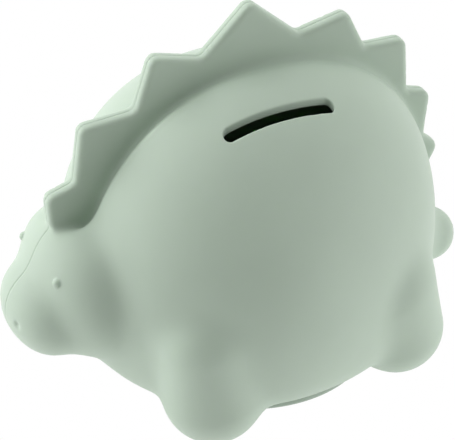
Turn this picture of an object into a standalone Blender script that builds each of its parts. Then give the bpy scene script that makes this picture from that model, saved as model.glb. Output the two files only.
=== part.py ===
"""Dinosaur money bank: a hollow moulded silicone shell and the round stopper that closes its base.

Metres, +Z up. The bank stands on its four feet at z = 0, with its head towards -X, its tail towards +X and
the coin slot high on its left flank, towards -Y. The spiked crest stands in the symmetry plane, y = 0.

The outer skin is one smooth surface. It is the zero level of a distance field that blends a few ellipsoids
and round limbs, so a rough solid of the same primitives is made first and then drawn onto that level.
"""

import math
from dataclasses import dataclass

import bmesh
import bpy
import numpy as np
from mathutils import Matrix

MM = 0.001


@dataclass(frozen=True)
class Ellipsoid:
    """A bulge of the body, centred on the symmetry plane."""

    x: float
    z: float
    radii: tuple
    pitch: float = 0.0


@dataclass(frozen=True)
class Limb:
    """A cone with two round ends, from the tip to the root, mirrored to the other flank."""

    tip: tuple
    tip_radius: float
    root: tuple
    root_radius: float


# Bulges of the body. The belly is taller above its centre than below it.
BELLY = Ellipsoid(11.4 * MM, 29.2 * MM, (47.6 * MM, 42.5 * MM, 66.4 * MM), -0.3)
BELLY_DEPTH = 45.0 * MM
CHEST = Ellipsoid(-9.8 * MM, 41.7 * MM, (40.9 * MM, 48.0 * MM, 49.9 * MM))
HEAD = Ellipsoid(-52.2 * MM, 38.6 * MM, (15.1 * MM, 25.3 * MM, 22.1 * MM), 0.1)
SNOUT = Ellipsoid(-64.3 * MM, 31.3 * MM, (10.4 * MM, 16.7 * MM, 13.0 * MM), 0.3)
FRONT_LEG = Limb((-25.0 * MM, 38.0 * MM, 14.2 * MM), 15.4 * MM, (-27.3 * MM, 38.2 * MM, 32.0 * MM), 13.5 * MM)
REAR_LEG = Limb((39.2 * MM, 29.0 * MM, 13.6 * MM), 14.8 * MM, (35.1 * MM, 29.3 * MM, 30.1 * MM), 15.4 * MM)
TAIL = Limb((65.2 * MM, 0.0, 23.6 * MM), 8.5 * MM, (50.0 * MM, 0.0, 30.7 * MM), 12.0 * MM)

# Widths over which neighbouring bulges melt into one another
BELLY_BLEND = 37.0 * MM
HEAD_BLEND = 10.0 * MM
SNOUT_BLEND = 7.0 * MM
LEG_BLEND = 4.5 * MM
TAIL_BLEND = 8.0 * MM
UNDERSIDE_BLEND = 7.6 * MM

# Hollow and base
WALL = 2.4 * MM
FLOOR_THICKNESS = 4.0 * MM
UNDERSIDE_Z = 6.0 * MM
BASE_X = 3.5 * MM
BASE_HOLE_RADIUS = 29.0 * MM
HOLLOW_BLEND = 6.0 * MM

# Crest: tips and the valleys between them, from the neck to the tail, in the symmetry plane (x, z)
CREST_THICKNESS = 7.5 * MM
CREST_EDGE_ROUNDING = 2.2 * MM
CREST_TIP_ROUNDING = 2.6 * MM
CREST_NECK = (-59.5 * MM, 58.0 * MM)
CREST_TAIL = (65.0 * MM, 46.0 * MM)
CREST_INSET = 3.0 * MM
CREST_TIPS = (
    (-61.3 * MM, 69.3 * MM),
    (-50.5 * MM, 90.2 * MM),
    (-27.8 * MM, 108.2 * MM),
    (2.7 * MM, 119.5 * MM),
    (34.0 * MM, 109.3 * MM),
    (54.2 * MM, 96.0 * MM),
    (63.0 * MM, 75.5 * MM),
    (66.6 * MM, 56.4 * MM),
)
CREST_VALLEYS = (
    (-52.6 * MM, 72.1 * MM),
    (-33.2 * MM, 91.4 * MM),
    (-12.1 * MM, 103.6 * MM),
    (18.7 * MM, 105.6 * MM),
    (40.2 * MM, 96.6 * MM),
    (55.6 * MM, 78.4 * MM),
    (62.2 * MM, 61.4 * MM),
)

# Coin slot: an upright blade-shaped cut alongside the crest, which the dome's curve makes look arched
SLOT_CENTRE = (2.5 * MM, -22.4 * MM, 94.0 * MM)
SLOT_LENGTH = 35.2 * MM
SLOT_WIDTH = 4.3 * MM
SLOT_REACH = 14.0 * MM

# Face
EYE = (-63.2 * MM, 14.2 * MM, 48.9 * MM)
EYE_RADIUS = 1.5 * MM
EYE_SINK = 0.5 * MM

# Stopper: a flanged cup whose skirt fills the base hole. Its heights are above the ground.
SKIRT_CLEARANCE = 0.3 * MM
FLANGE_RADIUS = 37.0 * MM
FLANGE_Z = (1.0 * MM, 5.7 * MM)
SEAT_CLEARANCE = 0.6 * MM
FLANGE_ROUNDING = 1.2 * MM
NECK_INSET = 1.2 * MM
BEAD_Z = (10.4 * MM, 13.4 * MM)
CUP_WALL = 3.0 * MM
CUP_FLOOR_Z = 6.2 * MM
LIP_RADIUS = 6.5 * MM
LIP_OFFSET = 36.5 * MM

# Mesh fineness
SKIN_VOXEL = 6.0 * MM
HOLLOW_SUBDIVISIONS = 3
LATHE_STEPS = 40
SLOT_END_STEPS = 8
FIELD_STEP = 0.05 * MM
DRAW_ROUNDS = 12
SETTLING_ROUNDS = 3
SHARP_ANGLE = math.radians(40.0)

# How far cutters run past the faces that they open
OVERSHOOT = 1.0 * MM

SAGE = (0.53, 0.61, 0.52, 1.0)


def ellipsoid_distance(points, shape, z_radius=None):
    """Approximate signed distance to an ellipsoid pitched about the Y axis."""
    cosine, sine = math.cos(shape.pitch), math.sin(shape.pitch)
    offset = points - np.array((shape.x, 0.0, shape.z))
    local = np.stack((
        offset[:, 0] * cosine + offset[:, 2] * sine,
        offset[:, 1],
        offset[:, 2] * cosine - offset[:, 0] * sine,
    ), axis=1)
    radii = np.array((shape.radii[0], shape.radii[1], z_radius or shape.radii[2]))
    scaled = np.linalg.norm(local / radii, axis=1)
    slope = np.linalg.norm(local / radii ** 2, axis=1)
    return scaled * (scaled - 1.0) / np.maximum(slope, 1e-9), local[:, 2]


def limb_distance(points, limb):
    """Signed distance to the nearer limb of a mirrored pair."""
    folded = points.copy()
    folded[:, 1] = np.abs(folded[:, 1])
    tip = np.array(limb.tip)
    bone = np.array(limb.root) - tip
    share = np.clip((folded - tip) @ bone / (bone @ bone), 0.0, 1.0)
    radius = limb.tip_radius + share * (limb.root_radius - limb.tip_radius)
    return np.linalg.norm(folded - tip - share[:, None] * bone, axis=1) - radius


def blend(first, second, width):
    """Smooth union of two distance fields."""
    near = np.maximum(width - np.abs(first - second), 0.0) / width
    return np.minimum(first, second) - near * near * width / 4.0


def trim(first, second, width):
    """Smooth intersection of two distance fields."""
    return -blend(-first, -second, width)


def torso_distance(points):
    """Belly and chest, before the underside is flattened."""
    above, height = ellipsoid_distance(points, BELLY)
    below, _ = ellipsoid_distance(points, BELLY, BELLY_DEPTH)
    chest, _ = ellipsoid_distance(points, CHEST)
    return blend(np.where(height > 0.0, above, below), chest, BELLY_BLEND)


def skin_distance(points):
    """The whole outer skin without the crest and the eyes."""
    skin = trim(torso_distance(points), UNDERSIDE_Z - points[:, 2], UNDERSIDE_BLEND)
    skin = blend(skin, ellipsoid_distance(points, HEAD)[0], HEAD_BLEND)
    skin = blend(skin, ellipsoid_distance(points, SNOUT)[0], SNOUT_BLEND)
    skin = blend(skin, limb_distance(points, FRONT_LEG), LEG_BLEND)
    skin = blend(skin, limb_distance(points, REAR_LEG), LEG_BLEND)
    return blend(skin, limb_distance(points, TAIL), TAIL_BLEND)


def hollow_distance(points):
    """The coin chamber: the torso set in by the wall, above the floor."""
    floor = UNDERSIDE_Z + FLOOR_THICKNESS - points[:, 2]
    return trim(torso_distance(points) + WALL, floor, HOLLOW_BLEND)


def draw_onto(mesh, distance):
    """Move a mesh's vertices onto a field's zero level, evening their spacing as they go."""
    points = np.empty(len(mesh.vertices) * 3)
    mesh.vertices.foreach_get("co", points)
    points = points.reshape(-1, 3)
    edges = np.array([edge.vertices[:] for edge in mesh.edges])
    degree = np.bincount(edges.ravel(), minlength=len(points))[:, None]
    for round_number in range(DRAW_ROUNDS):
        neighbours = np.zeros_like(points)
        np.add.at(neighbours, edges[:, 0], points[edges[:, 1]])
        np.add.at(neighbours, edges[:, 1], points[edges[:, 0]])
        if round_number < DRAW_ROUNDS - SETTLING_ROUNDS:
            points += 0.5 * (neighbours / degree - points)
        for _ in range(2):
            value = distance(points)
            ahead = [distance(points + axis) for axis in np.eye(3) * FIELD_STEP]
            slope = (np.stack(ahead, axis=1) - value[:, None]) / FIELD_STEP
            steepness = np.maximum(np.sum(slope * slope, axis=1), 0.05)
            points -= (value / steepness)[:, None] * slope
    mesh.vertices.foreach_set("co", points.ravel())
    mesh.update()


def clear_scene():
    """Remove every object that the file opened with."""
    for item in list(bpy.data.objects):
        bpy.data.objects.remove(item, do_unlink=True)


def silicone(name):
    """Matte sage-green silicone for one piece."""
    material = bpy.data.materials.new(name)
    material.use_nodes = True
    shader = material.node_tree.nodes["Principled BSDF"]
    shader.inputs["Base Color"].default_value = SAGE
    shader.inputs["Roughness"].default_value = 0.6
    shader.inputs["Metallic"].default_value = 0.0
    return material


def add_object(name, shape, location=(0.0, 0.0, 0.0)):
    """Turn a bmesh into a linked object."""
    bmesh.ops.recalc_face_normals(shape, faces=shape.faces)
    mesh = bpy.data.meshes.new(name)
    shape.to_mesh(mesh)
    shape.free()
    item = bpy.data.objects.new(name, mesh)
    item.location = location
    bpy.context.collection.objects.link(item)
    return item


def hide_guide(item):
    """Mark an object as a Boolean operand only."""
    item.hide_render = True
    item.display_type = "WIRE"


def combine(target, operand, operation):
    """Add an exact Boolean to the target and hide its operand."""
    modifier = target.modifiers.new(operand.name, "BOOLEAN")
    modifier.operation = operation
    modifier.solver = "EXACT"
    modifier.object = operand
    hide_guide(operand)


def evaluated_mesh(item):
    """A new mesh holding an object with its modifiers applied."""
    graph = bpy.context.evaluated_depsgraph_get()
    return bpy.data.meshes.new_from_object(item.evaluated_get(graph))


def add_ball(shape, centre, radii, pitch=0.0):
    """Add a scaled sphere to a bmesh."""
    placing = Matrix.Translation(centre) @ Matrix.Rotation(-pitch, 4, "Y") @ Matrix.Diagonal((*radii, 1.0))
    bmesh.ops.create_uvsphere(shape, u_segments=32, v_segments=20, radius=1.0, matrix=placing)


def rough_skin():
    """A closed, evenly meshed solid of the skin's overlapping primitives."""
    shape = bmesh.new()
    for bulge in (BELLY, CHEST, HEAD, SNOUT):
        add_ball(shape, (bulge.x, 0.0, bulge.z), bulge.radii, bulge.pitch)
    for limb in (FRONT_LEG, REAR_LEG, TAIL):
        for side in (-1.0, 1.0):
            for centre, radius in ((limb.tip, limb.tip_radius), (limb.root, limb.root_radius)):
                add_ball(shape, (centre[0], side * centre[1], centre[2]), (radius,) * 3)
    item = add_object("rough_skin", shape)
    remesh = item.modifiers.new("even_mesh", "REMESH")
    remesh.mode = "VOXEL"
    remesh.voxel_size = SKIN_VOXEL
    mesh = evaluated_mesh(item)
    bpy.data.objects.remove(item, do_unlink=True)
    return mesh


def smooth_skin():
    """The outer skin with each foot cut to a flat pad on the ground."""
    mesh = rough_skin()
    draw_onto(mesh, skin_distance)
    shape = bmesh.new()
    shape.from_mesh(mesh)
    everything = shape.verts[:] + shape.edges[:] + shape.faces[:]
    cut = bmesh.ops.bisect_plane(shape, geom=everything, plane_co=(0.0, 0.0, 0.0), plane_no=(0.0, 0.0, 1.0),
                                 clear_inner=True)
    rims = [item for item in cut["geom_cut"] if isinstance(item, bmesh.types.BMEdge)]
    bmesh.ops.edgenet_fill(shape, edges=rims)
    return shape


def crest_outline():
    """The crest's outline from the neck over the spikes to the tail, and back inside the wall."""
    outline = [CREST_NECK]
    for number, tip in enumerate(CREST_TIPS):
        outline.append(tip)
        if number < len(CREST_VALLEYS):
            outline.append(CREST_VALLEYS[number])
    outline.append(CREST_TAIL)
    centre = np.array((BELLY.x, CHEST.z))
    for point in [CREST_TAIL, *reversed(CREST_VALLEYS), CREST_NECK]:
        inward = centre - np.array(point)
        inward /= np.linalg.norm(inward)
        outline.append(tuple(np.array(point) + inward * (CREST_INSET + CREST_THICKNESS)))
    return outline


def crest_plate():
    """The spiked plate with its tips and its outer edges rounded."""
    shape = bmesh.new()
    half = CREST_THICKNESS / 2.0
    corners = [shape.verts.new((x, -half, z)) for x, z in crest_outline()]
    face = shape.faces.new(corners)
    extruded = bmesh.ops.extrude_face_region(shape, geom=[face])
    moved = [item for item in extruded["geom"] if isinstance(item, bmesh.types.BMVert)]
    bmesh.ops.translate(shape, verts=moved, vec=(0.0, CREST_THICKNESS, 0.0))
    upright = [edge for edge in shape.edges if abs(edge.verts[0].co.y - edge.verts[1].co.y) > half]
    bmesh.ops.bevel(shape, geom=upright, offset=CREST_TIP_ROUNDING, segments=2, profile=0.5,
                    affect="EDGES", clamp_overlap=True)
    item = add_object("crest_plate", shape)
    rounding = item.modifiers.new("rounded_edges", "BEVEL")
    rounding.width = CREST_EDGE_ROUNDING
    rounding.segments = 2
    rounding.limit_method = "ANGLE"
    rounding.angle_limit = math.radians(60.0)
    return item


def eye_bumps():
    """Two small raised round eyes."""
    shape = bmesh.new()
    for side in (-1.0, 1.0):
        centre = (EYE[0] + EYE_SINK, side * (EYE[1] - EYE_SINK), EYE[2] - EYE_SINK)
        placing = Matrix.Translation(centre)
        bmesh.ops.create_uvsphere(shape, u_segments=12, v_segments=8, radius=EYE_RADIUS, matrix=placing)
    return add_object("eye_bumps", shape)


def hollow():
    """The coin chamber's solid."""
    shape = bmesh.new()
    centre = ((BELLY.x + CHEST.x) / 2.0, 0.0, CHEST.z)
    bmesh.ops.create_icosphere(shape, subdivisions=HOLLOW_SUBDIVISIONS, radius=CHEST.radii[0],
                               matrix=Matrix.Translation(centre))
    item = add_object("hollow", shape)
    draw_onto(item.data, hollow_distance)
    return item


def lathe(shape, profile, steps=LATHE_STEPS):
    """Turn a closed outline of (radius, z) points that starts and ends on the Z axis."""
    rings = []
    for radius, height in profile:
        if radius < 1e-6:
            rings.append([shape.verts.new((0.0, 0.0, height))])
            continue
        angles = [2.0 * math.pi * step / steps for step in range(steps)]
        rings.append([shape.verts.new((radius * math.cos(a), radius * math.sin(a), height)) for a in angles])
    for lower, upper in zip(rings, rings[1:]):
        for step in range(steps):
            following = (step + 1) % steps
            corners = [lower[step % len(lower)], lower[following % len(lower)],
                       upper[following % len(upper)], upper[step % len(upper)]]
            shape.faces.new(list(dict.fromkeys(corners)))


def base_cutter():
    """Seat for the stopper's flange, then the hole up through the floor."""
    seat_radius = FLANGE_RADIUS + SEAT_CLEARANCE
    top = UNDERSIDE_Z + FLOOR_THICKNESS + HOLLOW_BLEND
    shape = bmesh.new()
    lathe(shape, (
        (0.0, -OVERSHOOT),
        (seat_radius, -OVERSHOOT),
        (seat_radius, UNDERSIDE_Z),
        (BASE_HOLE_RADIUS, UNDERSIDE_Z),
        (BASE_HOLE_RADIUS, top),
        (0.0, top),
    ))
    return add_object("base_cutter", shape, (BASE_X, 0.0, 0.0))


def slot_cutter():
    """An upright flat blade with round edges."""
    shape = bmesh.new()
    half_straight = (SLOT_LENGTH - SLOT_WIDTH) / 2.0
    ring = []
    for end in (1.0, -1.0):
        for step in range(SLOT_END_STEPS + 1):
            angle = math.radians(-90.0 + 180.0 * step / SLOT_END_STEPS)
            x = end * (half_straight + math.cos(angle) * SLOT_WIDTH / 2.0)
            y = end * math.sin(angle) * SLOT_WIDTH / 2.0
            ring.append(shape.verts.new((x, y, -SLOT_REACH)))
    face = shape.faces.new(ring)
    extruded = bmesh.ops.extrude_face_region(shape, geom=[face])
    moved = [item for item in extruded["geom"] if isinstance(item, bmesh.types.BMVert)]
    bmesh.ops.translate(shape, verts=moved, vec=(0.0, 0.0, 2.0 * SLOT_REACH))
    return add_object("slot_cutter", shape, SLOT_CENTRE)


def body_shell():
    """Skin, crest and eyes in one, with the chamber, base hole and coin slot cut out of it."""
    item = add_object("body_shell", smooth_skin())
    item.data.materials.append(silicone("body_silicone"))
    for operand in (crest_plate(), eye_bumps()):
        combine(item, operand, "UNION")
    for operand in (hollow(), base_cutter(), slot_cutter()):
        combine(item, operand, "DIFFERENCE")
    item.data.shade_smooth()
    item.data.set_sharp_from_angle(angle=SHARP_ANGLE)
    return item


def arc(centre, radius, start, end, steps=3):
    """Points of (radius, z) along an arc, angles in degrees."""
    angles = [math.radians(start + (end - start) * step / steps) for step in range(steps + 1)]
    return [(centre[0] + radius * math.cos(a), centre[1] + radius * math.sin(a)) for a in angles]


def stopper_profile():
    """Half section of the stopper, from the axis below to the axis above."""
    skirt = BASE_HOLE_RADIUS - SKIRT_CLEARANCE
    neck = skirt - NECK_INSET
    inside = skirt - CUP_WALL
    bottom, top = FLANGE_Z
    rim = FLANGE_RADIUS - FLANGE_ROUNDING
    bead_middle = (BEAD_Z[0] + BEAD_Z[1]) / 2.0
    bead_radius = (BEAD_Z[1] - BEAD_Z[0]) / 2.0
    return [
        (0.0, bottom),
        *arc((rim, bottom + FLANGE_ROUNDING), FLANGE_ROUNDING, -90.0, 0.0),
        *arc((rim, top - FLANGE_ROUNDING), FLANGE_ROUNDING, 0.0, 90.0),
        (neck, top),
        (neck, BEAD_Z[0]),
        *arc((skirt - bead_radius, bead_middle), bead_radius, -45.0, 90.0),
        (inside, BEAD_Z[1]),
        (inside, CUP_FLOOR_Z),
        (0.0, CUP_FLOOR_Z),
    ]


def pull_lip():
    """Half-round lip on the flange's tail side, for a fingertip."""
    bottom, top = FLANGE_Z
    shape = bmesh.new()
    placing = Matrix.Translation((LIP_OFFSET, 0.0, (bottom + top) / 2.0))
    bmesh.ops.create_cone(shape, cap_ends=True, segments=24, radius1=LIP_RADIUS, radius2=LIP_RADIUS,
                          depth=top - bottom, matrix=placing)
    return add_object("pull_lip", shape, (BASE_X, 0.0, 0.0))


def base_stopper():
    """The stopper, with its origin on the axis that it is pulled along."""
    shape = bmesh.new()
    lathe(shape, stopper_profile())
    item = add_object("base_stopper", shape, (BASE_X, 0.0, 0.0))
    item.data.materials.append(silicone("stopper_silicone"))
    combine(item, pull_lip(), "UNION")
    item.data.shade_smooth()
    item.data.set_sharp_from_angle(angle=SHARP_ANGLE)
    return item


def main():
    """Build the two pieces."""
    clear_scene()
    body_shell()
    base_stopper()


main()
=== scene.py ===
"""The looks of a soft silicone dinosaur money bank.

The frame gives the two bodies, the shell and its base stopper. This script replaces both plain solids with
finely meshed silicone mouldings: the body with its filleted crest, raised eyes, nostrils, coin slot, parting
line and hollow belly, and the turned stopper with its rim, skirt and pull lip.

Metres, +Z up, head towards -X, coin slot on the left flank towards -Y.
"""

import logging
import math
from dataclasses import dataclass
from enum import Enum
from typing import Callable

import bmesh
import bpy
import numpy as np
from mathutils import Matrix, Vector


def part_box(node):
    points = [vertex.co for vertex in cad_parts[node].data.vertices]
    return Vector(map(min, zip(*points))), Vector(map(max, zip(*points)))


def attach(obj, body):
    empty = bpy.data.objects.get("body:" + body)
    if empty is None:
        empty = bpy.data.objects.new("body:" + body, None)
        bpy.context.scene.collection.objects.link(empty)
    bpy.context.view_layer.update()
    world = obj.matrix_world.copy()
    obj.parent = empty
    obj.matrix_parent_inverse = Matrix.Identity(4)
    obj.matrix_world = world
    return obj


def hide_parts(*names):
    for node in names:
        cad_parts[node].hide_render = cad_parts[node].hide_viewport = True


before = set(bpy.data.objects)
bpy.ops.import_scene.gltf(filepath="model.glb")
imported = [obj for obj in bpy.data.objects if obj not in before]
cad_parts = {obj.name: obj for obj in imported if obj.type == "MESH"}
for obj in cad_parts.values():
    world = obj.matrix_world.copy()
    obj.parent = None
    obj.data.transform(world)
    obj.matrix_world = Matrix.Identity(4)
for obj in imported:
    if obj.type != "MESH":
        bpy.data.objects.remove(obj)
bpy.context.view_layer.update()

LOG = logging.getLogger("dinosaur_bank")
MM = 0.001

# A cubic blend needs this much more reach than a quadratic one to lift a crease as far
SMOOTHER_REACH = 1.5
# Vertices closer than this count as one, and those this close to a plane count as in it
SAME_PLACE = 0.001 * MM
# The tolerance of a plane cut
CUT_TOLERANCE = 0.0001 * MM
# Keeps a division clear of zero at an ellipsoid's centre
LEAST_SLOPE = 1e-9
QUAD_CORNERS = 4
# Facets round and up a rough ball, and splits of an icosahedron
BULGE_FACETS = (48, 32)
LIMB_FACETS = (32, 20)
BALL_SPLITS = 5
WHITE = (1.0, 1.0, 1.0, 1.0)

Distance = Callable[[np.ndarray], np.ndarray]


class Flank(Enum):
    """The two sides of the animal, as the sign of Y."""

    LEFT = -1.0
    RIGHT = 1.0


def blend(first: np.ndarray, second: np.ndarray, width: float) -> np.ndarray:
    """Smooth union of two distance fields.

    Args:
        first: distances to one solid.
        second: distances to the other solid.
        width: the fillet's size. It lifts the crease by a quarter of this.

    Returns:
        Distances to both solids melted together.
    """
    reach = width * SMOOTHER_REACH
    near = np.maximum(reach - np.abs(first - second), 0.0) / reach
    return np.minimum(first, second) - near ** 3 * reach / 6.0


def trim(first: np.ndarray, second: np.ndarray, width: float) -> np.ndarray:
    """Smooth intersection of two distance fields.

    Args:
        first: distances to one solid.
        second: distances to the other solid.
        width: how far from the edge the rounding starts.

    Returns:
        Distances to what the two solids share, with a rounded edge.
    """
    return -blend(-first, -second, width)


def smoothstep(values: np.ndarray, low: float, high: float) -> np.ndarray:
    """Ease from 0 at low to 1 at high.

    Args:
        values: where to evaluate it.
        low: the value below which the result is 0.
        high: the value above which the result is 1.

    Returns:
        Numbers between 0 and 1.
    """
    share = np.clip((values - low) / (high - low), 0.0, 1.0)
    return share * share * (3.0 - 2.0 * share)


def folded(points: np.ndarray) -> np.ndarray:
    """The points with the left flank's mirrored onto the right one."""
    return np.stack((points[:, 0], np.abs(points[:, 1]), points[:, 2]), axis=1)


def corner_arc(before: Vector, corner: Vector, after: Vector, radius: float) -> tuple[Vector, Vector, Vector]:
    """Find the arc that rounds a corner of a flat outline.

    Args:
        before: the outline's previous corner.
        corner: the corner to round.
        after: its next corner.
        radius: the arc's radius.

    Returns:
        The arc's centre, and its start and end as seen from that centre.
    """
    back, forth = (before - corner).normalized(), (after - corner).normalized()
    half = back.angle(forth) / 2.0
    centre = corner + (back + forth).normalized() * (radius / math.sin(half))
    start = corner + back * (radius / math.tan(half)) - centre
    end = corner + forth * (radius / math.tan(half)) - centre
    return centre, start, end


@dataclass(frozen=True)
class Bulge:
    """An ellipsoid centred on the symmetry plane and pitched about Y."""

    x: float
    z: float
    radii: tuple[float, float, float]
    pitch: float = 0.0

    def local(self, points: np.ndarray) -> np.ndarray:
        """The points in the ellipsoid's own axes."""
        cosine, sine = math.cos(self.pitch), math.sin(self.pitch)
        offset = points - np.array((self.x, 0.0, self.z))
        along = offset[:, 0] * cosine + offset[:, 2] * sine
        above = offset[:, 2] * cosine - offset[:, 0] * sine
        return np.stack((along, offset[:, 1], above), axis=1)

    def distance(self, points: np.ndarray, depth: float | None = None) -> np.ndarray:
        """Approximate signed distance to the ellipsoid.

        Args:
            points: places to measure from.
            depth: its radius below its centre, where that differs.

        Returns:
            Signed distances, negative inside.
        """
        local = self.local(points)
        radii = np.tile(np.array(self.radii), (len(points), 1))
        if depth is not None:
            radii[local[:, 2] < 0.0, 2] = depth
        scaled = np.linalg.norm(local / radii, axis=1)
        slope = np.linalg.norm(local / radii ** 2, axis=1)
        return scaled * (scaled - 1.0) / np.maximum(slope, LEAST_SLOPE)

    def add_to(self, shape: bmesh.types.BMesh) -> None:
        """Add a rough ball of this size to a bmesh."""
        placing = Matrix.Translation((self.x, 0.0, self.z)) @ Matrix.Rotation(-self.pitch, 4, "Y")
        placing = placing @ Matrix.Diagonal((*self.radii, 1.0))
        around, upwards = BULGE_FACETS
        bmesh.ops.create_uvsphere(shape, u_segments=around, v_segments=upwards, radius=1.0, matrix=placing)


@dataclass(frozen=True)
class Limb:
    """A cone with two round ends, mirrored across the symmetry plane unless it lies in it."""

    tip: tuple[float, float, float]
    tip_radius: float
    root: tuple[float, float, float]
    root_radius: float

    def distance(self, points: np.ndarray) -> np.ndarray:
        """Signed distance to the nearer limb of the pair."""
        from_tip = folded(points) - np.array(self.tip)
        bone = np.array(self.root) - np.array(self.tip)
        share = np.clip(from_tip @ bone / (bone @ bone), 0.0, 1.0)
        radius = self.tip_radius + share * (self.root_radius - self.tip_radius)
        return np.linalg.norm(from_tip - share[:, None] * bone, axis=1) - radius

    def add_to(self, shape: bmesh.types.BMesh) -> None:
        """Add rough balls at both ends of both limbs to a bmesh."""
        around, upwards = LIMB_FACETS
        for flank in Flank:
            for centre, radius in ((self.tip, self.tip_radius), (self.root, self.root_radius)):
                placing = Matrix.Translation((centre[0], flank.value * centre[1], centre[2]))
                bmesh.ops.create_uvsphere(shape, u_segments=around, v_segments=upwards, radius=radius,
                                          matrix=placing)


@dataclass(frozen=True)
class Anatomy:
    """The animal's outer form without its crest and face."""

    belly: Bulge = Bulge(11.4 * MM, 29.2 * MM, (47.6 * MM, 42.5 * MM, 66.4 * MM), -0.3)
    belly_depth: float = 45.0 * MM
    chest: Bulge = Bulge(-9.8 * MM, 41.7 * MM, (40.9 * MM, 48.0 * MM, 49.9 * MM))
    head: Bulge = Bulge(-52.2 * MM, 38.6 * MM, (15.1 * MM, 25.3 * MM, 22.1 * MM), 0.1)
    snout: Bulge = Bulge(-64.3 * MM, 31.3 * MM, (10.4 * MM, 16.7 * MM, 13.0 * MM), 0.3)
    front_leg: Limb = Limb((-25.1 * MM, 37.7 * MM, 14.2 * MM), 15.1 * MM,
                           (-27.3 * MM, 38.2 * MM, 32.0 * MM), 13.5 * MM)
    rear_leg: Limb = Limb((39.8 * MM, 28.3 * MM, 13.6 * MM), 14.6 * MM,
                          (35.1 * MM, 29.3 * MM, 30.1 * MM), 15.4 * MM)
    tail: Limb = Limb((65.2 * MM, 0.0, 23.6 * MM), 8.5 * MM, (50.0 * MM, 0.0, 30.7 * MM), 12.0 * MM)
    belly_blend: float = 37.0 * MM
    head_blend: float = 7.5 * MM
    snout_blend: float = 6.5 * MM
    leg_blend: float = 4.5 * MM
    tail_blend: float = 7.5 * MM
    underside_z: float = 6.0 * MM
    underside_blend: float = 8.4 * MM
    sole_blend: float = 1.2 * MM

    def torso(self, points: np.ndarray) -> np.ndarray:
        """Signed distance to belly and chest, before the underside is flattened."""
        belly = self.belly.distance(points, self.belly_depth)
        return blend(belly, self.chest.distance(points), self.belly_blend)

    def skin(self, points: np.ndarray) -> np.ndarray:
        """Signed distance to the whole animal, standing on flat soles at z = 0."""
        skin = blend(self.flat_torso(points), self.head.distance(points), self.head_blend)
        skin = blend(skin, self.snout.distance(points), self.snout_blend)
        skin = blend(skin, self.front_leg.distance(points), self.leg_blend)
        skin = blend(skin, self.rear_leg.distance(points), self.leg_blend)
        skin = blend(skin, self.tail.distance(points), self.tail_blend)
        return trim(skin, -points[:, 2], self.sole_blend)

    def flat_torso(self, points: np.ndarray) -> np.ndarray:
        """Signed distance to belly and chest with their flat underside."""
        return trim(self.torso(points), self.underside_z - points[:, 2], self.underside_blend)

    def rough_solids(self, shape: bmesh.types.BMesh) -> None:
        """Add head, snout, legs and tail to a bmesh as overlapping balls."""
        for part in (self.head, self.snout, self.front_leg, self.rear_leg, self.tail):
            part.add_to(shape)


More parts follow.
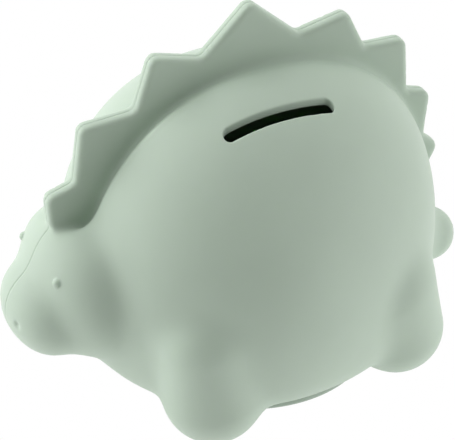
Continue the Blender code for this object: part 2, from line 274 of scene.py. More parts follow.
@dataclass(frozen=True)
class Crest:
    """The spiked plate along the back, in the symmetry plane."""

    thickness: float = 5.4 * MM
    edge_rounding: float = 1.6 * MM
    tip_radius: float = 2.8 * MM
    valley_radius: float = 2.4 * MM
    root_fillet: float = 2.3 * MM
    fillets_searched: float = 3.0
    groove_depth: tuple[float, float] = (3.8 * MM, 0.9 * MM)
    groove_run: tuple[float, float] = (-42.0 * MM, 6.0 * MM)
    groove_start: tuple[float, float] = (-60.0 * MM, -50.0 * MM)
    groove_width: float = 6.0 * MM
    groove_squareness: int = 4
    depth_in_wall: float = 14.0 * MM
    arc_steps: int = 5
    neck: tuple[float, float] = (-60.7 * MM, 59.4 * MM)
    tail: tuple[float, float] = (61.5 * MM, 47.0 * MM)
    heart: tuple[float, float] = (4.0 * MM, 42.0 * MM)
    tips: tuple[tuple[float, float], ...] = (
        (-61.3 * MM, 69.3 * MM),
        (-50.2 * MM, 90.0 * MM),
        (-27.8 * MM, 108.2 * MM),
        (3.0 * MM, 119.5 * MM),
        (34.4 * MM, 109.3 * MM),
        (53.9 * MM, 96.3 * MM),
        (62.9 * MM, 76.1 * MM),
        (66.6 * MM, 57.1 * MM),
    )
    valleys: tuple[tuple[float, float], ...] = (
        (-52.6 * MM, 72.1 * MM),
        (-33.2 * MM, 91.4 * MM),
        (-12.3 * MM, 104.2 * MM),
        (18.7 * MM, 105.6 * MM),
        (40.2 * MM, 96.6 * MM),
        (54.9 * MM, 78.4 * MM),
        (61.3 * MM, 61.4 * MM),
    )

    def corners(self) -> list[tuple[tuple[float, float], float]]:
        """The outline's corners from neck to tail and back inside the wall, each with its radius."""
        spikes = [(self.neck, self.valley_radius)]
        for number, tip in enumerate(self.tips):
            spikes.append((tip, self.tip_radius))
            if number < len(self.valleys):
                spikes.append((self.valleys[number], self.valley_radius))
        spikes.append((self.tail, self.valley_radius))
        inner = []
        for corner in (self.tail, *reversed(self.valleys), self.neck):
            inward = Vector(self.heart) - Vector(corner)
            inner.append((tuple(Vector(corner) + inward.normalized() * self.depth_in_wall), 0.0))
        return spikes + inner

    def outline(self) -> np.ndarray:
        """The outline as (x, z) points, with an arc at each rounded corner."""
        corners = self.corners()
        points: list[Vector] = []
        for number, (place, radius) in enumerate(corners):
            corner = Vector(place)
            if radius == 0.0:
                points.append(corner)
                continue
            before = Vector(corners[number - 1][0])
            after = Vector(corners[(number + 1) % len(corners)][0])
            middle, start, end = corner_arc(before, corner, after, radius)
            for step in range(self.arc_steps + 1):
                share = step / self.arc_steps
                points.append(middle + start.lerp(end, share).normalized() * radius)
        return np.array([tuple(point) for point in points])

    def plate(self, shape: bmesh.types.BMesh) -> None:
        """Add the rough plate to a bmesh by extruding its outline."""
        half = self.thickness / 2.0
        corners = [shape.verts.new((x, -half, z)) for x, z in self.outline()]
        face = shape.faces.new(corners)
        extruded = bmesh.ops.extrude_face_region(shape, geom=[face])
        moved = [item for item in extruded["geom"] if isinstance(item, bmesh.types.BMVert)]
        bmesh.ops.translate(shape, verts=moved, vec=(0.0, self.thickness, 0.0))

    def groove(self, points: np.ndarray) -> np.ndarray:
        """How far the skin dips beside the crest's root, most between the shoulders."""
        across = np.exp(-(points[:, 1] / self.groove_width) ** self.groove_squareness)
        height = smoothstep(points[:, 2], self.heart[1], self.heart[1] + self.groove_width)
        along = smoothstep(points[:, 0], *self.groove_run)
        starting = smoothstep(points[:, 0], *self.groove_start)
        front, rear = self.groove_depth
        return (front + (rear - front) * along) * across * height * starting

    def distance(self, points: np.ndarray) -> np.ndarray:
        """Signed distance to the plate, with round edges.

        Args:
            points: places to measure from.

        Returns:
            Signed distances, negative inside. Beyond the searched width they are only known to be large.
        """
        searched = self.root_fillet * self.fillets_searched
        across = np.abs(points[:, 1]) - self.thickness / 2.0
        result = np.maximum(across, 0.0) + searched
        near = across < searched
        flat = points[near][:, (0, 2)]
        start = self.outline()
        edge = np.roll(start, -1, axis=0) - start
        offset = flat[:, None, :] - start[None]
        share = np.clip((offset * edge).sum(-1) / (edge * edge).sum(-1), 0.0, 1.0)
        gap = np.sqrt(((offset - share[..., None] * edge) ** 2).sum(-1)).min(1)
        below = offset[..., 1] >= 0.0
        crosses = below != np.roll(below, -1, axis=1)
        turn = edge[:, 0] * offset[..., 1] - edge[:, 1] * offset[..., 0]
        inside = (crosses & (below == (turn < 0.0))).sum(1) % 2 == 1
        result[near] = trim(np.where(inside, -gap, gap), across[near], self.edge_rounding)
        return result


@dataclass(frozen=True)
class CoinSlot:
    """An upright blade-shaped cut with round ends, alongside the crest."""

    centre: tuple[float, float, float] = (2.5 * MM, -22.45 * MM, 94.0 * MM)
    length: float = 35.2 * MM
    width: float = 4.1 * MM
    turn: float = math.radians(2.8)
    reach: float = 14.0 * MM
    rim_rounding: float = 0.45 * MM
    steps: int = 30

    def placing(self) -> Matrix:
        """Turn and place the slot: X along it and Y across it, with Z upright."""
        return Matrix.Translation(self.centre) @ Matrix.Rotation(self.turn, 4, "Z")

    def distance(self, points: np.ndarray) -> np.ndarray:
        """Signed distance to the blade-shaped cut."""
        placing = np.array(self.placing())
        local = (points - placing[:3, 3]) @ placing[:3, :3]
        past_end = np.maximum(np.abs(local[:, 0]) - (self.length - self.width) / 2.0, 0.0)
        across = np.hypot(past_end, local[:, 1]) - self.width / 2.0
        return np.maximum(across, np.abs(local[:, 2]) - self.reach)

    def cutter(self) -> bmesh.types.BMesh:
        """The rough blade as a bmesh: a round post drawn out along the slot."""
        shape = bmesh.new()
        bmesh.ops.create_cone(shape, cap_ends=True, segments=self.steps, radius1=self.width / 2.0,
                              radius2=self.width / 2.0, depth=2.0 * self.reach)
        for vert in shape.verts:
            vert.co.x += math.copysign((self.length - self.width) / 2.0, vert.co.x)
        bmesh.ops.transform(shape, matrix=self.placing(), verts=shape.verts)
        return shape


@dataclass(frozen=True)
class Face:
    """Two raised round eyes and two nostril dimples."""

    eye: tuple[float, float, float] = (-63.3 * MM, 13.65 * MM, 48.3 * MM)
    eye_radius: float = 1.4 * MM
    eye_fillet: float = 0.4 * MM
    nostril: tuple[float, float, float] = (-74.45 * MM, 7.0 * MM, 32.4 * MM)
    nostril_radius: float = 1.1 * MM
    nostril_rounding: float = 1.1 * MM

    def ball(self, points: np.ndarray, centre: tuple[float, float, float], radius: float) -> np.ndarray:
        """Signed distance to the nearer of two mirrored balls."""
        return np.linalg.norm(folded(points) - np.array(centre), axis=1) - radius

    def eyes(self, points: np.ndarray) -> np.ndarray:
        """Signed distance to the eye bumps."""
        return self.ball(points, self.eye, self.eye_radius)

    def nostrils(self, points: np.ndarray) -> np.ndarray:
        """Signed distance to the balls that press the nostrils in."""
        return self.ball(points, self.nostril, self.nostril_radius)


@dataclass(frozen=True)
class SurfaceMesher:
    """Draws a rough mesh onto the zero level of a distance field."""

    distance: Distance
    step: float = 0.03 * MM
    least_steepness: float = 0.05
    relaxing: float = 0.5
    last_tries: int = 3

    def slope(self, points: np.ndarray, value: np.ndarray) -> np.ndarray:
        """The field's gradient at the points, by forward differences."""
        axes = np.eye(3) * self.step
        return np.stack([(self.distance(points + axis) - value) / self.step for axis in axes], axis=1)

    def settle(self, points: np.ndarray, tries: int) -> np.ndarray:
        """Move points along the gradient onto the zero level.

        Args:
            points: places to start from.
            tries: how many Newton steps to take.

        Returns:
            The moved points.
        """
        for _ in range(tries):
            value = self.distance(points)
            slope = self.slope(points, value)
            steepness = np.maximum((slope * slope).sum(1), self.least_steepness)
            points = points - (value / steepness)[:, None] * slope
        return points

    def draw(self, shape: bmesh.types.BMesh, rounds: int) -> None:
        """Even out a bmesh's vertices while drawing them onto the zero level.

        Args:
            shape: the bmesh to move.
            rounds: how many times each vertex moves towards its neighbours' average and settles again.
        """
        shape.verts.index_update()
        points = np.array([vert.co[:] for vert in shape.verts])
        edges = np.array([(edge.verts[0].index, edge.verts[1].index) for edge in shape.edges])
        degree = np.bincount(edges.ravel(), minlength=len(points))[:, None]
        for _ in range(rounds):
            total = np.zeros_like(points)
            np.add.at(total, edges[:, 0], points[edges[:, 1]])
            np.add.at(total, edges[:, 1], points[edges[:, 0]])
            points = self.settle(points + self.relaxing * (total / degree - points), 1)
        points = self.settle(points, self.last_tries)
        for vert, place in zip(shape.verts, points):
            vert.co = place

    def refine(self, shape: bmesh.types.BMesh, size: Distance) -> None:
        """Split the edges that are longer than the wanted size where they are.

        Args:
            shape: the bmesh to split.
            size: gives the wanted edge length at each point.
        """
        edges = shape.edges[:]
        ends = np.array([(edge.verts[0].co[:], edge.verts[1].co[:]) for edge in edges])
        long = np.linalg.norm(ends[:, 0] - ends[:, 1], axis=1) > size(ends.mean(1))
        chosen = [edge for edge, is_long in zip(edges, long) if is_long]
        bmesh.ops.subdivide_edges(shape, edges=chosen, cuts=1, use_grid_fill=True)
        many_sided = [face for face in shape.faces if len(face.verts) > QUAD_CORNERS]
        bmesh.ops.triangulate(shape, faces=many_sided)


@dataclass(frozen=True)
class FineZone:
    """The edge length wanted at a detail, and how it grows with the distance from it."""

    size: float
    margin: float
    growth: float

    def wanted(self, gap: np.ndarray) -> np.ndarray:
        """Edge length at these distances from the detail's surface."""
        return self.size + self.growth * np.maximum(np.abs(gap) - self.margin, 0.0)


@dataclass(frozen=True)
class Silicone:
    """Matte moulded silicone: soft light under the skin, a fine grain and faint cloudiness."""

    colour: tuple[float, float, float] = (0.509, 0.618, 0.511)
    cloud: float = 0.035
    cloud_scale: float = 28.0
    cloud_detail: float = 4.0
    cloud_range: tuple[float, float] = (0.3, 0.7)
    roughness: float = 0.58
    roughness_change: float = 0.06
    grain_size: float = 0.35 * MM
    grain_height: float = 0.012 * MM
    grain_detail: float = 2.0
    grain_strength: float = 0.5
    subsurface: float = 0.25
    subsurface_radius: tuple[float, float, float] = (1.0, 1.1, 0.8)
    subsurface_scale: float = 1.6 * MM
    ior: float = 1.41
    sheen: float = 0.12
    sheen_roughness: float = 0.5

    def material(self, name: str) -> bpy.types.Material:
        """Build the node material.

        Args:
            name: the material's name.

        Returns:
            The new material.
        """
        material = bpy.data.materials.new(name)
        material.use_nodes = True
        nodes, links = material.node_tree.nodes, material.node_tree.links
        shader = nodes["Principled BSDF"]
        place = nodes.new("ShaderNodeTexCoord")
        self.colour_clouds(nodes, links, place, shader)
        self.skin_grain(nodes, links, place, shader)
        shader.inputs["IOR"].default_value = self.ior
        shader.inputs["Subsurface Weight"].default_value = self.subsurface
        shader.inputs["Subsurface Radius"].default_value = self.subsurface_radius
        shader.inputs["Subsurface Scale"].default_value = self.subsurface_scale
        shader.inputs["Sheen Weight"].default_value = self.sheen
        shader.inputs["Sheen Roughness"].default_value = self.sheen_roughness
        return material

    def colour_clouds(self, nodes: bpy.types.Nodes, links: bpy.types.NodeLinks, place: bpy.types.Node,
                      shader: bpy.types.Node) -> None:
        """Faint uneven pigment, and the roughness that goes with it."""
        noise = nodes.new("ShaderNodeTexNoise")
        noise.inputs["Scale"].default_value = self.cloud_scale
        noise.inputs["Detail"].default_value = self.cloud_detail
        links.new(place.outputs["Object"], noise.inputs["Vector"])
        ramp = nodes.new("ShaderNodeValToRGB")
        dark, light = ramp.color_ramp.elements
        dark.position, light.position = self.cloud_range
        dark.color = (*(channel * (1.0 - self.cloud) for channel in self.colour), 1.0)
        light.color = (*(channel * (1.0 + self.cloud) for channel in self.colour), 1.0)
        links.new(noise.outputs["Fac"], ramp.inputs["Fac"])
        links.new(ramp.outputs["Color"], shader.inputs["Base Color"])
        spread = nodes.new("ShaderNodeMapRange")
        spread.inputs["To Min"].default_value = self.roughness - self.roughness_change
        spread.inputs["To Max"].default_value = self.roughness + self.roughness_change
        links.new(noise.outputs["Fac"], spread.inputs["Value"])
        links.new(spread.outputs["Result"], shader.inputs["Roughness"])

    def skin_grain(self, nodes: bpy.types.Nodes, links: bpy.types.NodeLinks, place: bpy.types.Node,
                   shader: bpy.types.Node) -> None:
        """The blasted mould's fine satin grain."""
        grain = nodes.new("ShaderNodeTexNoise")
        grain.inputs["Scale"].default_value = 1.0 / self.grain_size
        grain.inputs["Detail"].default_value = self.grain_detail
        links.new(place.outputs["Object"], grain.inputs["Vector"])
        bump = nodes.new("ShaderNodeBump")
        bump.inputs["Strength"].default_value = self.grain_strength
        bump.inputs["Distance"].default_value = self.grain_height
        links.new(grain.outputs["Fac"], bump.inputs["Height"])
        links.new(bump.outputs["Normal"], shader.inputs["Normal"])


def add_piece(name: str, shape: bmesh.types.BMesh) -> bpy.types.Object:
    """Turn a bmesh into a smooth-shaded object at the origin.

    Args:
        name: the piece's name.
        shape: its bmesh, which is freed.

    Returns:
        The new object.
    """
    mesh = bpy.data.meshes.new(name)
    shape.to_mesh(mesh)
    shape.free()
    mesh.shade_smooth()
    piece = bpy.data.objects.new(name, mesh)
    bpy.context.scene.collection.objects.link(piece)
    return piece


def turned(centre_x: float, corners: list[tuple[float, float]], steps: int = 96) -> bmesh.types.BMesh:
    """Spin a half section that starts and ends on an upright axis.

    Args:
        centre_x: where the axis is.
        corners: the half section's (radius, height) points.
        steps: how many facets go round.

    Returns:
        The closed solid.
    """
    shape = bmesh.new()
    verts = [shape.verts.new((centre_x + radius, 0.0, height)) for radius, height in corners]
    edges = [shape.edges.new(pair) for pair in zip(verts, verts[1:])]
    bmesh.ops.spin(shape, geom=verts + edges, cent=(centre_x, 0.0, 0.0), axis=(0.0, 0.0, 1.0),
                   dvec=(0.0, 0.0, 0.0), angle=2.0 * math.pi, steps=steps, use_merge=True)
    bmesh.ops.remove_doubles(shape, verts=shape.verts, dist=SAME_PLACE)
    bmesh.ops.recalc_face_normals(shape, faces=shape.faces)
    return shape


def even_out(piece: bpy.types.Object, name: str, voxel: float) -> None:
    """Give a piece a modifier that meshes it evenly.

    Args:
        piece: the closed solid.
        name: the modifier's name.
        voxel: the new mesh's edge length.
    """
    even = piece.modifiers.new(name, "REMESH")
    even.mode = "VOXEL"
    even.voxel_size = voxel


def remeshed(parts: bmesh.types.BMesh, cutters: list[bmesh.types.BMesh], voxel: float) -> bmesh.types.BMesh:
    """Join overlapping solids into one evenly meshed solid with the cutters taken out.

    Args:
        parts: the overlapping solids.
        cutters: solids to remove, one after another.
        voxel: the new mesh's edge length.

    Returns:
        A new bmesh. The given ones are freed.
    """
    work = add_piece("rough", parts)
    even_out(work, "even", voxel)
    helpers = [work]
    for number, cutter in enumerate(cutters):
        bmesh.ops.recalc_face_normals(cutter, faces=cutter.faces)
        helper = add_piece(f"cutter_{number}", cutter)
        helpers.append(helper)
        cut = work.modifiers.new(f"cut_{number}", "BOOLEAN")
        cut.operation = "DIFFERENCE"
        cut.solver = "EXACT"
        cut.object = helper
    even_out(work, "even_again", voxel)
    graph = bpy.context.evaluated_depsgraph_get()
    mesh = bpy.data.meshes.new_from_object(work.evaluated_get(graph))
    shape = bmesh.new()
    shape.from_mesh(mesh)
    bpy.data.meshes.remove(mesh)
    for helper in helpers:
        bpy.data.objects.remove(helper, do_unlink=True)
    return shape


@dataclass(frozen=True)
class BodyShell:
    """The one-piece silicone moulding: hollow animal, crest, face, slot, base hole and parting line."""

    node: str = "body_shell"
    body: str = "shell"
    anatomy: Anatomy = Anatomy()
    crest: Crest = Crest()
    slot: CoinSlot = CoinSlot()
    face: Face = Face()
    finish: Silicone = Silicone()
    wall: float = 2.1 * MM
    spare_wall: float = 0.8 * MM
    floor: float = 4.0 * MM
    hollow_blend: float = 6.0 * MM
    base_x: float = 3.5 * MM
    hole_radius: float = 29.0 * MM
    seat_radius: float = 38.4 * MM
    rim_rounding: float = 1.0 * MM
    seam_half_width: float = 0.22 * MM
    seam_depth: float = 0.16 * MM
    mesh_size: float = 1.55 * MM
    ball_radius: float = 40.0 * MM
    ball_rounds: int = 8
    rough_rounds: int = 5
    first_rounds: int = 8
    refined_rounds: tuple[int, ...] = (2, 3, 5, 0)
    slot_zone: FineZone = FineZone(0.2 * MM, 0.9 * MM, 0.3)
    face_zone: FineZone = FineZone(0.26 * MM, 0.5 * MM, 0.25)
    crest_zone: FineZone = FineZone(0.95 * MM, 1.5 * MM, 0.3)
    rim_zone: FineZone = FineZone(0.1 * MM, 0.6 * MM, 0.4)
    hidden_size: float = 2.2 * MM
    hidden_from: float = 1.0 * MM
    size_slack: float = 1.4

    def hollow(self, points: np.ndarray) -> np.ndarray:
        """Signed distance to the coin chamber."""
        floor = self.anatomy.underside_z + self.floor - points[:, 2]
        inset = self.anatomy.torso(points) + self.crest.groove(points) + self.wall
        return trim(inset, floor, self.hollow_blend)

    def base_opening(self, points: np.ndarray) -> np.ndarray:
        """Signed distance to the flange seat and the hole above it."""
        radius = np.hypot(points[:, 0] - self.base_x, points[:, 1])
        seat = np.maximum(radius - self.seat_radius, points[:, 2] - self.anatomy.underside_z)
        above = points[:, 2] - self.anatomy.underside_z - self.floor - self.hollow_blend
        hole = np.maximum(radius - self.hole_radius, above)
        return np.minimum(seat, hole)

    def outside(self, points: np.ndarray) -> np.ndarray:
        """Signed distance to the outer skin with its crest and face."""
        skin = self.anatomy.skin(points) + self.crest.groove(points)
        skin = blend(skin, self.crest.distance(points), self.crest.root_fillet)
        skin = blend(skin, self.face.eyes(points), self.face.eye_fillet)
        return trim(skin, -self.face.nostrils(points), self.face.nostril_rounding)

    def distance(self, points: np.ndarray) -> np.ndarray:
        """Signed distance to the whole moulding."""
        solid = trim(self.outside(points), -self.hollow(points), self.rim_rounding)
        solid = trim(solid, -self.base_opening(points), self.rim_rounding)
        return trim(solid, -self.slot.distance(points), self.slot.rim_rounding)

    def wanted_size(self, points: np.ndarray) -> np.ndarray:
        """Longest edge allowed at each point: short at the slot and its rim, the face and the crest."""
        from_slot = self.slot.distance(points)
        slot = self.slot_zone.wanted(from_slot)
        rim = self.rim_zone.wanted(np.hypot(from_slot, self.outside(points)))
        eyes = self.face_zone.wanted(self.face.eyes(points))
        nostrils = self.face_zone.wanted(self.face.nostrils(points))
        crest = self.crest_zone.wanted(self.crest.distance(points))
        inside = np.where(self.hollow(points) < self.hidden_from, self.hidden_size, 0.0)
        outer = np.minimum(np.maximum(crest, inside), np.minimum(eyes, nostrils))
        return self.size_slack * np.minimum(np.minimum(outer, slot), rim)

    def rough_hollow(self, points: np.ndarray) -> np.ndarray:
        """Signed distance to a smaller chamber, which leaves spare wall for the rough cut."""
        return self.hollow(points) + self.spare_wall

    def drawn_ball(self, form: Distance) -> bmesh.types.BMesh:
        """A ball round the crest's heart, drawn onto a smooth form."""
        shape = bmesh.new()
        heart = Matrix.Translation((self.crest.heart[0], 0.0, self.crest.heart[1]))
        bmesh.ops.create_icosphere(shape, subdivisions=BALL_SPLITS, radius=self.ball_radius, matrix=heart)
        SurfaceMesher(form).draw(shape, rounds=self.ball_rounds)
        return shape

    def rough_shape(self) -> bmesh.types.BMesh:
        """The joined primitives, drawn onto the skin, with the chamber, base opening and slot cut out."""
        solids = self.drawn_ball(self.anatomy.flat_torso)
        self.anatomy.rough_solids(solids)
        self.crest.plate(solids)
        bmesh.ops.recalc_face_normals(solids, faces=solids.faces)
        solids = remeshed(solids, [], self.mesh_size)
        SurfaceMesher(self.outside).draw(solids, rounds=self.rough_rounds)
        chamber = self.drawn_ball(self.rough_hollow)
        top = self.anatomy.underside_z + self.floor + self.hollow_blend
        below = -self.mesh_size * 2.0
        opening = turned(self.base_x, [(0.0, below), (self.seat_radius, below),
                                       (self.seat_radius, self.anatomy.underside_z),
                                       (self.hole_radius, self.anatomy.underside_z),
                                       (self.hole_radius, top), (0.0, top)])
        return remeshed(solids, [chamber, opening, self.slot.cutter()], self.mesh_size)

    def press_seam(self, shape: bmesh.types.BMesh) -> None:
        """Cut the mould's parting line as a fine V groove round the outer skin at y = 0."""
        snapped = 2.0 * self.seam_half_width
        for vert in shape.verts:
            if abs(vert.co.y) < snapped:
                vert.co.y = 0.0
        for offset in (0.0, -self.seam_half_width, self.seam_half_width):
            geometry = shape.verts[:] + shape.edges[:] + shape.faces[:]
            bmesh.ops.bisect_plane(shape, geom=geometry, dist=CUT_TOLERANCE, plane_co=(0.0, offset, 0.0),
                                   plane_no=(0.0, 1.0, 0.0))
        shape.normal_update()
        middle = [vert for vert in shape.verts if abs(vert.co.y) < SAME_PLACE]
        outer = self.hollow(np.array([vert.co[:] for vert in middle])) > self.wall / 2.0
        for vert, is_outer in zip(middle, outer):
            if is_outer:
                vert.co -= vert.normal * self.seam_depth
                for edge in vert.link_edges:
                    if abs(edge.other_vert(vert).co.y) < SAME_PLACE:
                        edge.smooth = False

    def build(self) -> None:
        """Make the moulding and put it in the frame."""
        shape = self.rough_shape()
        mesher = SurfaceMesher(self.distance)
        mesher.draw(shape, rounds=self.first_rounds)
        for rounds in self.refined_rounds:
            mesher.refine(shape, self.wanted_size)
            mesher.draw(shape, rounds=rounds)
        self.press_seam(shape)
        piece = add_piece("body_moulding", shape)
        piece.data.materials.append(self.finish.material("sage_silicone"))
        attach(piece, self.body)
        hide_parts(self.node)
        report_piece(piece, self.node)


@dataclass(frozen=True)
class BaseStopper:
    """The turned silicone plug: flange, skirt with a retaining bead, hollow cup and pull lip."""

    node: str = "base_stopper"
    body: str = "stopper"
    # The stopper's colour is about four fifths of the body's. That is painted shade: it stands in for the
    # shadow under the belly on the flange's rim, which the shadowless floor doesn't cast.
    finish: Silicone = Silicone(colour=(0.41, 0.495, 0.415), cloud=0.03)
    flange_top: float = 5.7 * MM
    skirt_radius: float = 28.7 * MM
    neck_inset: float = 1.2 * MM
    bead_height: float = 3.0 * MM
    cup_wall: float = 3.0 * MM
    cup_floor: float = 6.2 * MM
    rim_radius: float = 0.9 * MM
    shoulder_radius: float = 3.2 * MM
    flange_overhang: float = 0.7 * MM
    small_radius: float = 0.6 * MM
    dish_radius: float = 30.0 * MM
    dish_depth: float = 0.8 * MM
    lip_radius: float = 6.5 * MM
    lip_blend: float = 3.0 * MM
    steps: int = 240
    arc_steps: int = 6
    ring_gap: float = 2.5 * MM
    halvings: int = 30

    def corners(self, flange_radius: float, bottom: float, top: float) -> list[tuple[Vector, float]]:
        """Half section of the stopper from the axis below to the axis above.

        Args:
            flange_radius: the flange's radius.
            bottom: the underside's height.
            top: the bead's top.

        Returns:
            Corners as (radius, height), each with the radius that rounds it.
        """
        neck = self.skirt_radius - self.neck_inset
        inside = self.skirt_radius - self.cup_wall
        bead = top - self.bead_height
        dish = bottom + self.dish_depth
        return [
            (Vector((0.0, dish)), 0.0),
            (Vector((self.dish_radius, dish)), self.small_radius),
            (Vector((self.dish_radius + self.dish_depth, bottom)), self.small_radius),
            (Vector((flange_radius, bottom)), self.rim_radius),
            (Vector((flange_radius, self.flange_top)), self.shoulder_radius),
            (Vector((neck, self.flange_top)), self.small_radius / 2.0),
            (Vector((neck, bead)), self.small_radius / 2.0),
            (Vector((self.skirt_radius, bead + self.neck_inset)), self.small_radius),
            (Vector((self.skirt_radius, top)), self.rim_radius / 2.0),
            (Vector((inside, top)), self.small_radius),
            (Vector((inside, self.cup_floor)), self.small_radius),
            (Vector((0.0, self.cup_floor)), 0.0),
        ]

    def section(self, corners: list[tuple[Vector, float]]) -> list[tuple[float, float]]:
        """Round the corners of a half section and divide its long runs.

        Args:
            corners: the corners and their radii.

        Returns:
            Points as (radius, height).
        """
        points = [corners[0][0]]
        for (before, _), (corner, radius), (after, _) in zip(corners, corners[1:], corners[2:]):
            middle, start, end = corner_arc(before, corner, after, radius)
            for step in range(self.arc_steps + 1):
                turned_to = start.slerp(end, step / self.arc_steps)
                points.append(middle + turned_to.normalized() * radius)
        points.append(corners[-1][0])
        divided = [points[0]]
        for start, end in zip(points, points[1:]):
            parts = max(1, round((end - start).length / self.ring_gap))
            divided.extend(start.lerp(end, part / parts) for part in range(1, parts + 1))
        return [tuple(point) for point in divided]

    def draw_lip(self, shape: bmesh.types.BMesh, centre_x: float, flange_radius: float, reach: float) -> None:
        """Pull the flange's rim out towards the tail into a rounded fingertip lip.

        Args:
            shape: the turned stopper.
            centre_x: where its axis is.
            flange_radius: the flange's radius.
            reach: how far the lip's tip is from the axis.
        """
        lip_centre = reach - self.lip_radius
        edge = flange_radius - self.rim_radius
        for vert in shape.verts:
            offset = Vector((vert.co.x - centre_x, vert.co.y))
            if offset.length <= self.skirt_radius or vert.co.z > self.flange_top + self.small_radius:
                continue
            outward = offset.normalized()
            low, high = flange_radius, reach + self.lip_blend
            for _ in range(self.halvings):
                middle = (low + high) / 2.0
                to_flange = np.array([middle - flange_radius])
                to_lip = np.array([(outward * middle - Vector((lip_centre, 0.0))).length - self.lip_radius])
                outside = blend(to_flange, to_lip, self.lip_blend)[0] > 0.0
                low, high = (low, middle) if outside else (middle, high)
            share = min((offset.length - self.skirt_radius) / (edge - self.skirt_radius), 1.0)
            moved = outward * (offset.length + (low - flange_radius) * share)
            vert.co.x, vert.co.y = centre_x + moved.x, moved.y

    def build(self) -> None:
        """Make the stopper and put it in the frame."""
        low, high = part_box(self.node)
        centre_x = low.x + (high.y - low.y) / 2.0
        flange_radius = (high.y - low.y) / 2.0 + self.flange_overhang
        corners = self.corners(flange_radius, low.z, high.z)
        shape = turned(centre_x, self.section(corners), self.steps)
        self.draw_lip(shape, centre_x, flange_radius, high.x - centre_x)
        piece = add_piece("stopper_moulding", shape)
        # This material carries the stopper's darker colour, which is painted shade from under the belly.
        piece.data.materials.append(self.finish.material("stopper_silicone"))
        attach(piece, self.body)
        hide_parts(self.node)
        report_piece(piece, self.node)


def report_piece(piece: bpy.types.Object, node: str) -> None:
    """Log a piece's triangles and how its box differs from its node's, in millimetres.

    Args:
        piece: the finished piece.
        node: the CAD node that it stands for.
    """
    piece.data.calc_loop_triangles()
    places = np.array([vert.co[:] for vert in piece.data.vertices])
    low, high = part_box(node)
    growth = np.round((np.concatenate((places.min(0) - low, places.max(0) - high))) / MM, 2)
    LOG.info("%s: %d triangles, box change %s mm", piece.name, len(piece.data.loop_triangles), growth)


def towards(azimuth: float, elevation: float) -> Vector:
    """Unit vector from the bank in a given direction.

    Args:
        azimuth: radians from -Y, growing towards +X.
        elevation: radians above the horizon.

    Returns:
        The direction.
    """
    flat = math.cos(elevation)
    return Vector((math.sin(azimuth) * flat, -math.cos(azimuth) * flat, math.sin(elevation)))


@dataclass(frozen=True)
class Softbox:
    """A large square studio light aimed at the bank."""

    name: str
    azimuth: float
    elevation: float
    size: float
    brightness: float
    reach: float = 1.1

    def build(self, target: Vector) -> None:
        """Add the light.

        Args:
            target: the point that it is aimed at.
        """
        data = bpy.data.lights.new(self.name, "AREA")
        data.shape = "SQUARE"
        data.size = self.size
        data.energy = self.brightness * math.pi * self.size ** 2
        light = bpy.data.objects.new(self.name, data)
        out = towards(math.radians(self.azimuth), math.radians(self.elevation))
        light.location = target + out * self.reach
        light.rotation_euler = (-out).to_track_quat("-Z", "Y").to_euler()
        bpy.context.scene.collection.objects.link(light)


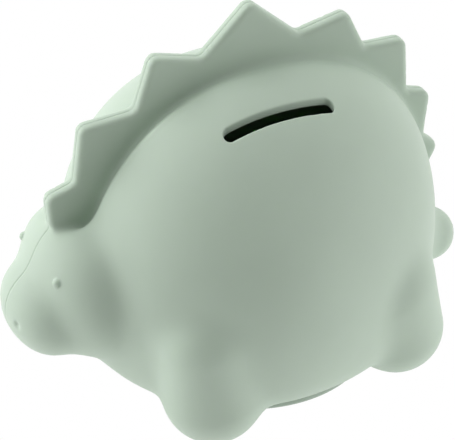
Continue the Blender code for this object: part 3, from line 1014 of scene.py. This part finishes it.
@dataclass(frozen=True)
class Studio:
    """White surroundings with a dark side behind the camera, three soft lights and a long lens."""

    azimuth: float = math.radians(-24.32)
    elevation: float = math.radians(32.47)
    camera_distance: float = 0.7732
    lens: float = 203.8
    clip_range: tuple[float, float] = (0.05, 10.0)
    aim: tuple[float, float, float] = (-3.44 * MM, 0.0, 46.21 * MM)
    backdrop: float = 1.0
    low_surround: float = 1.15
    high_surround: float = 0.92
    horizon: tuple[float, float] = (-0.4, 0.5)
    dark_side: float = 0.12
    dark_azimuth: float = math.radians(-18.0)
    dark_elevation: float = math.radians(22.0)
    dark_core: float = math.radians(22.0)
    dark_edge: float = math.radians(70.0)
    floor_size: float = 3.0
    floor_colour: tuple[float, float, float, float] = (0.9, 0.9, 0.9, 1.0)
    floor_roughness: float = 0.9
    softboxes: tuple[Softbox, ...] = (
        Softbox("left_softbox", -120.0, 25.0, 1.1, 1.5),
        Softbox("back_softbox", -150.0, 58.0, 0.9, 0.9),
        Softbox("right_softbox", 58.0, -4.0, 0.9, 1.05),
    )

    def floor(self) -> None:
        """A pale floor that only reflections show: it neither hides, shades nor lights the bank."""
        shape = bmesh.new()
        bmesh.ops.create_grid(shape, x_segments=1, y_segments=1, size=self.floor_size)
        piece = add_piece("floor", shape)
        material = bpy.data.materials.new("pale_floor")
        material.use_nodes = True
        shader = material.node_tree.nodes["Principled BSDF"]
        shader.inputs["Base Color"].default_value = self.floor_colour
        shader.inputs["Roughness"].default_value = self.floor_roughness
        piece.data.materials.append(material)
        piece.visible_camera = False
        piece.visible_shadow = False
        piece.visible_diffuse = False

    def world(self) -> None:
        """White light from all round, save for the dark room behind the camera."""
        world = bpy.data.worlds.new("white_studio")
        world.use_nodes = True
        nodes, links = world.node_tree.nodes, world.node_tree.links
        background = nodes["Background"]
        background.inputs["Color"].default_value = WHITE
        direction = nodes.new("ShaderNodeTexCoord")
        facing = nodes.new("ShaderNodeVectorMath")
        facing.operation = "DOT_PRODUCT"
        facing.inputs[1].default_value = towards(self.dark_azimuth, self.dark_elevation)
        links.new(direction.outputs["Generated"], facing.inputs[0])
        falloff = nodes.new("ShaderNodeMapRange")
        falloff.interpolation_type = "SMOOTHSTEP"
        falloff.inputs["From Min"].default_value = math.cos(self.dark_edge)
        falloff.inputs["From Max"].default_value = math.cos(self.dark_core)
        links.new(facing.outputs["Value"], falloff.inputs["Value"])
        height = nodes.new("ShaderNodeSeparateXYZ")
        links.new(direction.outputs["Generated"], height.inputs["Vector"])
        level = nodes.new("ShaderNodeMapRange")
        level.interpolation_type = "SMOOTHSTEP"
        level.inputs["From Min"].default_value, level.inputs["From Max"].default_value = self.horizon
        level.inputs["To Min"].default_value = self.low_surround
        level.inputs["To Max"].default_value = self.high_surround
        links.new(height.outputs["Z"], level.inputs["Value"])
        shaded = nodes.new("ShaderNodeMix")
        shaded.inputs["B"].default_value = self.dark_side
        links.new(falloff.outputs["Result"], shaded.inputs["Factor"])
        links.new(level.outputs["Result"], shaded.inputs["A"])
        seen = nodes.new("ShaderNodeLightPath")
        strength = nodes.new("ShaderNodeMix")
        strength.inputs["B"].default_value = self.backdrop
        links.new(seen.outputs["Is Camera Ray"], strength.inputs["Factor"])
        links.new(shaded.outputs["Result"], strength.inputs["A"])
        links.new(strength.outputs["Result"], background.inputs["Strength"])
        bpy.context.scene.world = world

    def camera(self) -> None:
        """A long lens looking down at the bank's left front."""
        data = bpy.data.cameras.new("camera")
        data.lens = self.lens
        data.clip_start, data.clip_end = self.clip_range
        camera = bpy.data.objects.new("camera", data)
        back = towards(self.azimuth, self.elevation)
        camera.location = Vector(self.aim) + back * self.camera_distance
        camera.rotation_euler = (-back).to_track_quat("-Z", "Y").to_euler()
        bpy.context.scene.collection.objects.link(camera)
        bpy.context.scene.camera = camera

    def build(self) -> None:
        """Add floor, world, lights and camera."""
        self.floor()
        self.world()
        for softbox in self.softboxes:
            softbox.build(Vector(self.aim))
        self.camera()
        bpy.context.scene.view_settings.view_transform = "Standard"


def main() -> None:
    """Build the studio and both mouldings."""
    logging.basicConfig(level=logging.INFO, format="%(name)s: %(message)s")
    Studio().build()
    for moulding in (BodyShell(), BaseStopper()):
        moulding.build()


if __name__ == "__main__":
    main()
